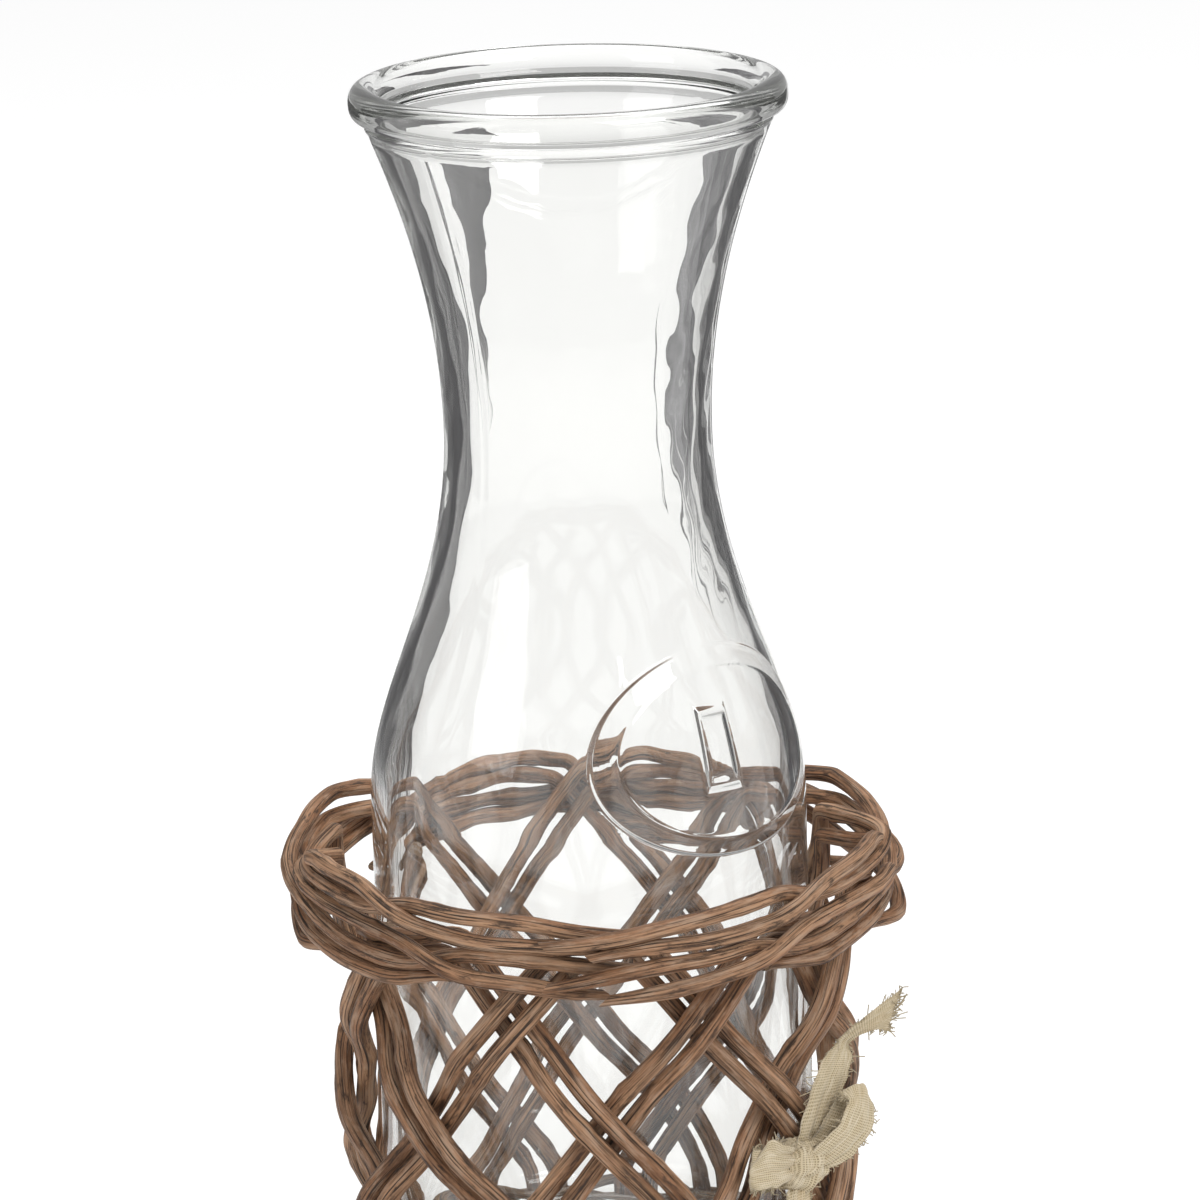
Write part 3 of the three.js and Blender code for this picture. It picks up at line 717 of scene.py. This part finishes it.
def make_rod(name, places, radii, seed, bark):
    places = np.array(places)
    steps = np.linalg.norm(np.diff(places, axis=0), axis=1)
    lengths = np.concatenate([[0], np.cumsum(steps)])
    rod = round_curve(name, places, radii)
    mesh = rod.data
    count = len(places)
    assert len(mesh.vertices) == (count + 2) * ROD_SIDES
    corners = corners_of(mesh) / MM
    middles = np.concatenate([places[-1:], places[:1], places])
    along = np.concatenate([lengths[-1:], lengths[:1], lengths])
    rings = corners.reshape(count + 2, ROD_SIDES, 3) - middles[:, None, :]
    turns = 2 * np.pi * np.arange(ROD_SIDES) / ROD_SIDES
    swell = np.ones((count + 2, ROD_SIDES))
    for i, distance in enumerate(along):
        for j, turn in enumerate(turns):
            spot = Vector((distance / 9, 1.3 * math.cos(turn) + 11 * seed, 1.3 * math.sin(turn)))
            swell[i, j] += 0.10 * noise.noise(spot)
    for at, side, size in knots_along(lengths[-1], seed):
        near = np.exp(-((along - at) / 1.7) ** 2)[:, None]
        bud = np.maximum(np.cos(turns - side), 0)[None, :] ** 3
        swell += size * near * (0.09 + 0.2 * bud)
    rings *= swell[:, :, None]
    tangents = np.gradient(places, axis=0)
    tangents /= np.linalg.norm(tangents, axis=1)[:, None]
    random = np.random.default_rng(seed + 900)
    for cap, last, tangent in ((0, count + 1, tangents[-1]), (1, 2, tangents[0])):
        slant = random.uniform(0.6, 1.5) * np.cos(turns - random.uniform(0, 6.28)) * radii[-1]
        for ring in (cap, last):
            rings[ring] += slant[:, None] * tangent
    whole = rings + middles[:, None, :]
    whole[:, :, 2] = np.maximum(whole[:, :, 2], 0)
    set_corners(mesh, whole.reshape(-1, 3) * MM)
    own = np.zeros((count + 2, ROD_SIDES, 3), np.float32)
    own[:, :, 0] = along[:, None] + 400 * (seed % 97)
    own[:, :, 1] = 2 * np.cos(turns)[None, :]
    own[:, :, 2] = 2 * np.sin(turns)[None, :]
    mesh.attributes.new("bark", "FLOAT_VECTOR", "POINT").data.foreach_set("vector", own.ravel())
    mesh.materials.append(bark)
    mesh.materials.append(CUT_WILLOW)
    for face in mesh.polygons[:2 * (ROD_SIDES - 2)]:
        face.material_index = 1
        face.use_smooth = False
    return rod


# %% Stakes
stakes = {}
for pair in range(PAIRS):
    for letter, leading in (("a", False), ("b", True)):
        for side, lean in (("right", 1), ("left", -1)):
            node = f"{side}_stake_{pair + 1}{letter}"
            seed = 4 * pair + 2 * leading + (lean > 0) + 1
            places, radii = stake_route(pair, leading, lean, seed)
            stakes[node] = make_rod(node + "_bark", places, radii, seed, BROWN_WILLOW)
            take_up(stakes[node], "basket", "brown_willow", node)
print("made", len(stakes), "stakes of", len(next(iter(stakes.values())).data.polygons), "faces or so")

# %% Band and floor
band = []
for row in range(4):
    node = "foot_rod" if row == 0 else f"waling_rod_{row}"
    places = waling_route(row, 40 + row)
    rod = make_rod(node + "_bark", places, np.linspace(1.75, 1.6, len(places)), 40 + row, GREY_WILLOW)
    take_up(rod, "basket", "grey_willow", node)
    band.append(rod)
for index in range(FLOOR_COUNT):
    for kind, crosswise in (("floor_stick", False), ("floor_cross_stick", True)):
        node = f"{kind}_{index + 1}"
        seed = 60 + 2 * index + crosswise
        places = floor_route(index, crosswise)
        rod = make_rod(node + "_bark", places, np.linspace(1.5, 1.42, len(places)), seed, GREY_WILLOW)
        take_up(rod, "basket", "grey_willow", node)
        band.append(rod)
print("made", len(band), "rods of the band and the floor")

# %% [markdown]
# ## The bow
# A torn strip of gauze goes round a pair of stakes and is tied in front of it, with two loops and two
# tails. Places are across, out and up from the knot, in millimetres. A cloth simulation can't tie a knot in
# the time, so each run of the strip is a grid laid along a smooth curve, with folds, crumples and frayed
# edges.

# %% Bow places
BOW_ANGLE = TOP_CROSSING_ANGLE + 3 * ROW_TURN
BOW_DROP = 11.0
BOW_LEVEL = TOP_ROW - ROW_PITCH - BOW_DROP
KNOT = point_at(WEAVE_RADIUS + 5.5, BOW_ANGLE, BOW_LEVEL)
ACROSS = point_at(1, BOW_ANGLE + 90, 0)
OUT = point_at(1, BOW_ANGLE, 0)
UP = np.array([0.0, 0.0, 1.0])
STRIP_WIDTH = 11.0


def from_knot(across, out, up):
    return KNOT + across * ACROSS + out * OUT + up * UP


def through(values, t):
    """A smooth curve through the values, at t from 0 to 1."""
    values = np.asarray(values, float)
    at = min(max(t, 0.0), 1.0) * (len(values) - 1)
    i = min(int(at), len(values) - 2)
    u = at - i
    before = values[max(i - 1, 0)]
    after = values[min(i + 2, len(values) - 1)]
    a, b = values[i], values[i + 1]
    pull_a = (b - before) / 2
    pull_b = (after - a) / 2
    return (a * (2 * u ** 3 - 3 * u ** 2 + 1) + pull_a * (u ** 3 - 2 * u ** 2 + u)
            + b * (3 * u ** 2 - 2 * u ** 3) + pull_b * (u ** 3 - u ** 2))


class Ribbon:
    """A strip of cloth along stations, each a place and the strip's width there as a vector."""

    def __init__(self, name, stations, folds, seed, free_end=False, curls=(0, 0), crumple=0.35):
        self.name = name
        self.places = [place for place, wide in stations]
        self.widths = [wide for place, wide in stations]
        self.folds = folds
        self.seed = seed
        self.free_end = free_end
        self.curls = curls
        self.crumple = crumple
        self.length = sum(np.linalg.norm(b - a) for a, b in zip(self.places, self.places[1:]))

    def at(self, t, s):
        """The place at t along the strip and s from -1 to 1 across it."""
        place = through(self.places, t)
        wide = through(self.widths, t)
        ahead = through(self.places, t + 0.01) - through(self.places, t - 0.01)
        normal = np.cross(ahead, wide)
        normal /= max(np.linalg.norm(normal), 1e-9)
        depth = through(self.folds, t)
        fold = math.sin(2.6 * math.pi * s + self.seed + 1.5 * t)
        fold += 0.5 * math.sin(5.1 * math.pi * s + 2 * self.seed)
        crumple = wander(self.seed, t * self.length, 5) * wander(self.seed + 9, 6 * s, 5)
        crumple += 0.5 * wander(self.seed + 30, t * self.length + 3 * s, 2.5)
        inward = KNOT - place
        inward *= through(self.curls, t) * s * s / max(np.linalg.norm(inward), 1e-9)
        frayed = 1 + 0.06 * wander(self.seed + 20 + (s > 0), t * self.length, 1.6)
        return place + wide * (0.5 * s * frayed) + inward + normal * (depth * fold + self.crumple * crumple)

    def cloth(self):
        """A grid of the strip, with its flat place in the attribute named weave."""
        deselect_all()
        steps = max(int(self.length / 0.6), 12)
        bpy.ops.mesh.primitive_grid_add(x_subdivisions=18, y_subdivisions=steps, size=2)
        piece = bpy.context.object
        piece.name = self.name
        flat = corners_of(piece.data)
        places = [self.at((y + 1) / 2, x) for x, y, z in flat]
        set_corners(piece.data, np.array(places) * MM)
        weave_place = np.zeros((len(flat), 3), np.float32)
        weave_place[:, 0] = (flat[:, 1] + 1) / 2 * self.length + 37 * self.seed
        weave_place[:, 1] = flat[:, 0] * STRIP_WIDTH / 2
        attribute = piece.data.attributes.new("weave", "FLOAT_VECTOR", "POINT")
        attribute.data.foreach_set("vector", weave_place.ravel())
        piece.data.materials.append(GAUZE)
        bpy.ops.object.shade_smooth()
        return piece

    def threads(self, random):
        """Loose threads out of both edges, and longer ones out of a free end."""
        loose = []
        for _ in range(int(self.length * 4)):
            t = random.uniform(0.03, 1)
            s = random.choice([-1, 1])
            edge = self.at(t, s)
            outward = edge - self.at(t, 0.8 * s)
            loose.append((edge, outward, min(random.exponential(0.45) + 0.2, 1.9)))
        for _ in range(70 if self.free_end else 0):
            s = random.uniform(-1, 1)
            edge = self.at(1, s)
            loose.append((edge, edge - self.at(0.96, s), min(random.exponential(0.5) + 0.3, 2.0)))
        return [self.thread(random, *parts) for parts in loose]

    def thread(self, random, start, outward, length):
        way = outward / max(np.linalg.norm(outward), 1e-9)
        bend = random.normal(0, 0.5, 3)
        return [start + way * length * u + bend * length * u * u for u in (-0.15, 0.3, 0.65, 1.0)]


# %% Bow strips
def wide(across, out, up):
    return STRIP_WIDTH * (across * ACROSS + out * OUT + up * UP)


def stake_wrap():
    """From the knot over the pair of stakes on its right, round behind it and back."""
    pair_angle = BOW_ANGLE + BOW_DROP / CLIMB
    pair_radius = WEAVE_RADIUS - WEAVE_DEPTH * weave(BOW_LEVEL)
    middle = point_at(pair_radius, pair_angle, BOW_LEVEL)
    outward = point_at(1, pair_angle, 0)
    up_pair = -point_at(math.cos(LATTICE_SLOPE), pair_angle + 90, -math.sin(LATTICE_SLOPE))
    across_pair = np.cross(outward, up_pair)
    reach = ROD_RADIUS + 0.75
    stations = [(KNOT, 0.6 * STRIP_WIDTH * up_pair)]
    right_side = [(1, turn) for turn in (90, 45, 0, -45, -90)]
    left_side = [(-1, turn) for turn in (-90, -135, 180)]
    for end, turn in [(-1, 90), *right_side, *left_side]:
        aside = end * PAIR_SPACING / 2 + reach * math.cos(math.radians(turn))
        place = middle + across_pair * aside + outward * reach * math.sin(math.radians(turn))
        stations.append((place, 0.6 * STRIP_WIDTH * up_pair))
    stations.append((KNOT, 0.6 * STRIP_WIDTH * up_pair))
    return stations


def knot_turn(high, deep, tilt, share):
    """One tight turn of the strip round the knot."""
    stations = []
    for turn in np.linspace(0, 400, 15):
        a = math.radians(turn)
        lean = math.radians(tilt)
        side = high * math.cos(a)
        place = from_knot(side * math.sin(lean), deep * math.sin(a), side * math.cos(lean))
        stations.append((place, share * wide(math.cos(lean), 0, -math.sin(lean))))
    return stations


upper_tail = Ribbon("upper_tail", [
    (from_knot(0, 0, 0), wide(0.4, 0, 0)),
    (from_knot(2, 1.5, 6), wide(0.7, 0.1, 0)),
    (from_knot(6.3, 2.2, 14.9), wide(0.8, 0.1, -0.05)),
    (from_knot(9.2, 2.8, 21), wide(0.62, 0.1, -0.12)),
    (from_knot(10.6, 4, 25), wide(0.2, 0, -0.16)),
    (from_knot(15, 8, 28.6), wide(-0.05, 0, -0.4)),
    (from_knot(18.4, 10.5, 30.4), wide(-0.42, 0, -0.72)),
], (0.5, 0.25, 0.12, 0.12, 0.2, 0.12, 0.08), 1, free_end=True)
right_loop = Ribbon("right_loop", [
    (from_knot(0, 1.5, 0), wide(0.4, 0, -0.3)),
    (from_knot(3.5, 5, 2), wide(0.7, 0.1, -0.4)),
    (from_knot(7.5, 8, 6.5), wide(0.7, 0.1, -0.35)),
    (from_knot(10.2, 8.4, 11.5), wide(0.6, 0.1, -0.25)),
    (from_knot(11.6, 7.2, 15.8), wide(0.56, 0.1, -0.16)),
    (from_knot(10.4, 5, 13), wide(0.58, 0.1, -0.2)),
    (from_knot(7.5, 3.6, 7.5), wide(0.65, 0.1, -0.3)),
    (from_knot(3.5, 2, 2.5), wide(0.6, 0.1, -0.35)),
    (from_knot(0, 0, 0), wide(0.4, 0, -0.3)),
], (0.6, 0.35, 0.2, 0.15, 0.12, 0.15, 0.2, 0.35, 0.6), 2, curls=(0, 0, 0, 0, 3, 0, 0, 0, 0))
left_loop = Ribbon("left_loop", [
    (from_knot(0, 1, 0.5), wide(0, 0, 0.45)),
    (from_knot(-7, 2.6, 2), wide(0.05, 0, 0.75)),
    (from_knot(-12.6, 2.2, 3.2), wide(0.25, 0, 0.9)),
    (from_knot(-15.6, 0.2, 2.4), wide(0.3, 0, 0.7)),
    (from_knot(-13, -1.2, 1.6), wide(0.05, 0, 0.85)),
    (from_knot(-7, -0.6, 0), wide(0, 0, 0.7)),
    (from_knot(0, 0, -0.5), wide(0, 0, 0.45)),
], (0.6, 0.4, 0.15, 0.12, 0.15, 0.4, 0.6), 3, curls=(0, 0, 0, 2, 0, 0, 0))
lower_tail = Ribbon("lower_tail", [
    (from_knot(0, 0, 0), wide(0.4, 0, 0)),
    (from_knot(-3.4, 2, -8), wide(0.8, 0, 0.15)),
    (from_knot(-4.6, 1, -16), wide(0.9, 0, 0.1)),
    (from_knot(-3.6, -0.5, -24), wide(0.9, 0, 0.1)),
], (0.6, 0.3, 0.2, 0.12), 4, free_end=True)
wrap = Ribbon("stake_wrap", stake_wrap(), (0.25,) * 4, 5)
tight_turn = Ribbon("tight_turn", knot_turn(5.6, 4.8, 14, 1.0), (0.5,) * 4, 6, curls=(2.6, 2.6), crumple=1.0)
cross_turn = Ribbon("cross_turn", knot_turn(5.2, 4.4, 62, 0.9), (0.5,) * 4, 7, curls=(2.4, 2.4), crumple=1.0)
ribbons = [upper_tail, right_loop, left_loop, lower_tail, wrap, tight_turn, cross_turn]
print("the strip is about", round(sum(r.length for r in ribbons)), "mm long")

# %% Join the strips and fray their edges
strips = [ribbon.cloth() for ribbon in ribbons]
deselect_all()
for strip in strips:
    strip.select_set(True)
bpy.context.view_layer.objects.active = strips[0]
bpy.ops.object.join()
bow = bpy.context.object
bow.name = "gauze_bow"

random = np.random.default_rng(11)
deselect_all()
bpy.ops.curve.primitive_nurbs_path_add()
fray = bpy.context.object
fray.name = "gauze_fray"
fray.data.splines.clear()
for ribbon in ribbons:
    for places in ribbon.threads(random):
        spline = fray.data.splines.new("POLY")
        spline.points.add(len(places) - 1)
        for point, place in zip(spline.points, places):
            point.co = (*(place * MM), 1)
fray.data.bevel_depth = 0.11 * MM
fray.data.bevel_resolution = 0
bpy.ops.object.convert(target="MESH")
fray = bpy.context.object
fray.data.materials.append(GAUZE)
take_up(bow, "basket", "gauze", "cloth_bow")
take_up(fray, "basket", "gauze")
print("the bow has", len(bow.data.polygons), "faces and the fray", len(fray.data.polygons))

# %% [markdown]
# ## The studio
# A plain floor that glows white, soft boxes and an even sky. Streaked grey flags and two grey cards stand
# behind the glass, out of the camera's sight. They draw the edges and the upright streaks of the glass.

# %% Floor, cards and lights
def stage_plane(name, width, depth, hex_value, glow):
    deselect_all()
    bpy.ops.mesh.primitive_plane_add(size=1)
    piece = bpy.context.object
    piece.name = name
    piece.data.transform(Matrix.Diagonal((width, depth, 1, 1)))
    material, _, shader, _ = new_material(name + "_paint")
    shader.inputs["Base Color"].default_value = colour(hex_value)
    shader.inputs["Roughness"].default_value = 0.9
    shader.inputs["Specular IOR Level"].default_value = 0.0
    shader.inputs["Emission Color"].default_value = colour(hex_value)
    shader.inputs["Emission Strength"].default_value = glow
    piece.data.materials.append(material)
    return piece


def stand(piece, place, facing):
    """Put a stage plane at a place so that it faces a point."""
    way = (Vector(facing) - Vector(place)).normalized()
    turn = way.to_track_quat("Z", "Y").to_matrix().to_4x4()
    piece.data.transform(Matrix.Translation(place) @ turn)


def soft_box(name, place, facing, size, watts):
    data = bpy.data.lights.new(name, "AREA")
    data.shape = "SQUARE"
    data.size = size
    data.energy = watts
    lamp = bpy.data.objects.new(name, data)
    bpy.context.collection.objects.link(lamp)
    lamp.location = place
    lamp.rotation_euler = (Vector(facing) - Vector(place)).to_track_quat("-Z", "Y").to_euler()
    return lamp


def show_to_glass_only(piece):
    piece.visible_camera = False
    piece.visible_diffuse = False
    piece.visible_shadow = False


def streaked_grey(name, dark, light):
    """Grey that glows evenly, in upright streaks that run out into white at the foot."""
    material, tree, shader, _ = new_material(name)
    place = in_millimetres(tree)
    streaks = noise_of(tree, place, (0.08, 0.08, 0.01), detail=4.0, roughness=0.6)
    grey = lay_over(tree, colour(dark), colour(light), streaks, 0.38, 0.62)
    share = add_node(tree, "ShaderNodeTexCoord").outputs["Generated"]
    height = add_node(tree, "ShaderNodeSeparateXYZ", {"Vector": share}).outputs["Z"]
    brush = noise_of(tree, place, (0.5, 0.5, 0.012), detail=3.0)
    filled = add_node(tree, "ShaderNodeMath", {0: height, 1: brush}, operation="ADD").outputs[0]
    grey = lay_over(tree, colour("#ffffff"), grey, filled, 0.64, 0.76)
    tree.links.new(grey, shader.inputs["Emission Color"])
    shader.inputs["Emission Strength"].default_value = 1.0
    shader.inputs["Base Color"].default_value = (0, 0, 0, 1)
    return material


def grey_flag(name, sides, levels, dark, light, seed, taper=0):
    """A flag with ragged edges behind the glass, between two sides and two levels in millimetres."""
    deselect_all()
    bpy.ops.mesh.primitive_grid_add(x_subdivisions=12, y_subdivisions=90, size=2)
    piece = bpy.context.object
    piece.name = name
    places = []
    for x, y, _ in corners_of(piece.data):
        level = levels[0] + (levels[1] - levels[0]) * (y + 1) / 2
        width = (sides[1] - sides[0]) * (1 - taper * (1 - y) / 2)
        aside = sides[0] + width * (x + 1) / 2
        ragged = 1.2 * wander(seed, level, 22) + 0.6 * wander(seed + 20, level, 5)
        places.append((aside + ragged, FLAG_DEPTH, level + 4 * wander(seed + 40, x, 0.3)))
    set_corners(piece.data, np.array(places) * MM)
    piece.data.materials.append(streaked_grey(name + "_paper", dark, light))
    show_to_glass_only(piece)
    return piece


FLAG_DEPTH = 250.0
stage_plane("studio_floor", 9, 9, "#aaaaaa", 1.65)
for side, name in ((-1, "left_card"), (1, "right_card")):
    card = stage_plane(name, 0.2, 0.6, "#4a494c", 0.0)
    stand(card, (side * 0.34, 0.2, 0.26), (0, 0.2, 0.26))
    show_to_glass_only(card)
flags = [
    grey_flag("left_edge_flag", (-300, -79), (4, 240), "#2a292b", "#5a595b", 71),
    grey_flag("left_streak_flag", (-47, -23), (136, 205), "#302f32", "#585759", 72, taper=0.85),
    grey_flag("right_streak_flag", (52, 92), (100, 215), "#3a393c", "#868588", 73),
    grey_flag("right_edge_flag", (120, 300), (4, 240), "#2a292b", "#5a595b", 74),
]
print("made", len(flags), "flags")
middle = (0, 0, 0.12)
soft_box("key_box", (0.9, -1.1, 1.3), middle, 0.9, 18)
soft_box("fill_box", (-1.3, -0.9, 0.9), middle, 0.9, 4)
soft_box("top_box", (0.1, 0.6, 1.6), middle, 1.2, 12)
world = bpy.data.worlds.new("studio_sky")
bpy.context.scene.world = world
world.use_nodes = True
world.node_tree.nodes["Background"].inputs["Color"].default_value = (1, 1, 1, 1)
world.node_tree.nodes["Background"].inputs["Strength"].default_value = 0.55

# %% [markdown]
# ## The camera
# It looks at the photograph's angle: from the front, a little above, and rolled by less than two degrees.

# %% Camera
DISTANCE = 1.8
ELEVATION = math.radians(13.28881)
ROLL_ANGLE = math.radians(1.67233)
FOCAL_SHARE = 8745.858 / 1200
target = Vector((3.5385, 0, 156.078)) * MM
back = Vector((0, -math.cos(ELEVATION), math.sin(ELEVATION)))
upright = Vector((0, math.sin(ELEVATION), math.cos(ELEVATION)))
level_axis = Vector((1, 0, 0))
right_axis = math.cos(ROLL_ANGLE) * level_axis - math.sin(ROLL_ANGLE) * upright
up_axis = math.sin(ROLL_ANGLE) * level_axis + math.cos(ROLL_ANGLE) * upright
data = bpy.data.cameras.new("photo_camera")
camera = bpy.data.objects.new("photo_camera", data)
bpy.context.collection.objects.link(camera)
turn = Matrix((right_axis, up_axis, back)).transposed().to_4x4()
camera.matrix_world = Matrix.Translation(target + DISTANCE * back) @ turn
data.sensor_width = 36
data.lens = FOCAL_SHARE * data.sensor_width
data.clip_end = 50
scene = bpy.context.scene
scene.camera = camera
scene.view_settings.view_transform = "Standard"
scene.view_settings.look = "None"
scene.cycles.use_denoising = True
scene.cycles.max_bounces = 64
scene.cycles.transmission_bounces = 64
scene.cycles.glossy_bounces = 64
print("camera at", [round(x, 3) for x in camera.location], "lens", round(data.lens, 1), "mm")
